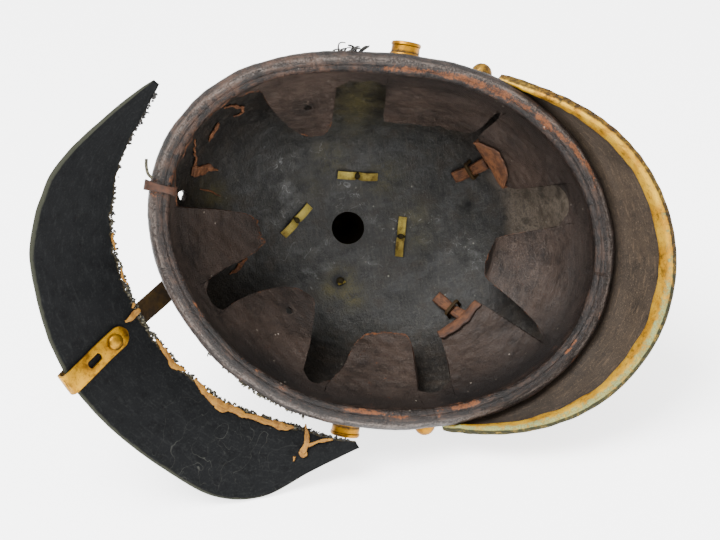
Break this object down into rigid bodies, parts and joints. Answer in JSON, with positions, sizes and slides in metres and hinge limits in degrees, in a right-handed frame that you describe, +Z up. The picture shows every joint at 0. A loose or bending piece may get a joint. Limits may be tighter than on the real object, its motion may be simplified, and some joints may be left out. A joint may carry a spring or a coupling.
{
  "type": "spiked helmet",
  "caption": "Worn leather spiked helmet lying on its side, hollow to the viewer, with a tongued lining, brass-edged front visor and a torn rear visor held by a brass spine.",
  "frame": {"origin": "on the ground, under the middle of the helmet's box as it lies", "axes": "+Z up from the ground; the wearer's front points mostly along +X; the open underside faces mostly -Y and a little up, and the crown and spike point along +Y and down"},
  "size_m": [0.3002, 0.2508, 0.2002],
  "materials": {
    "shell_leather": "aged lacquer",
    "lining_leather": "worn gloss",
    "visor_leather": "worn satin",
    "torn_leather": "dry satin",
    "tan_leather": "raw",
    "brass": "tarnished"
  },
  "bodies": {
    "root": {"shell": "shell_leather", "lining": "lining_leather", "front_visor": "visor_leather", "front_visor_trim": "brass", "rear_visor": "torn_leather", "rear_spine": "brass", "rear_spine_stud": "brass", "side_post_left": "brass", "side_post_right": "brass", "trim_rivet_left": "brass", "trim_rivet_right": "brass", "spike": "brass", "base_stud_front": "brass", "base_stud_left": "brass", "base_stud_rear": "brass", "base_stud_right": "brass", "front_plate": "brass", "plate_wedge_left": "tan_leather", "plate_wedge_right": "tan_leather"}
  },
  "joints": []
}
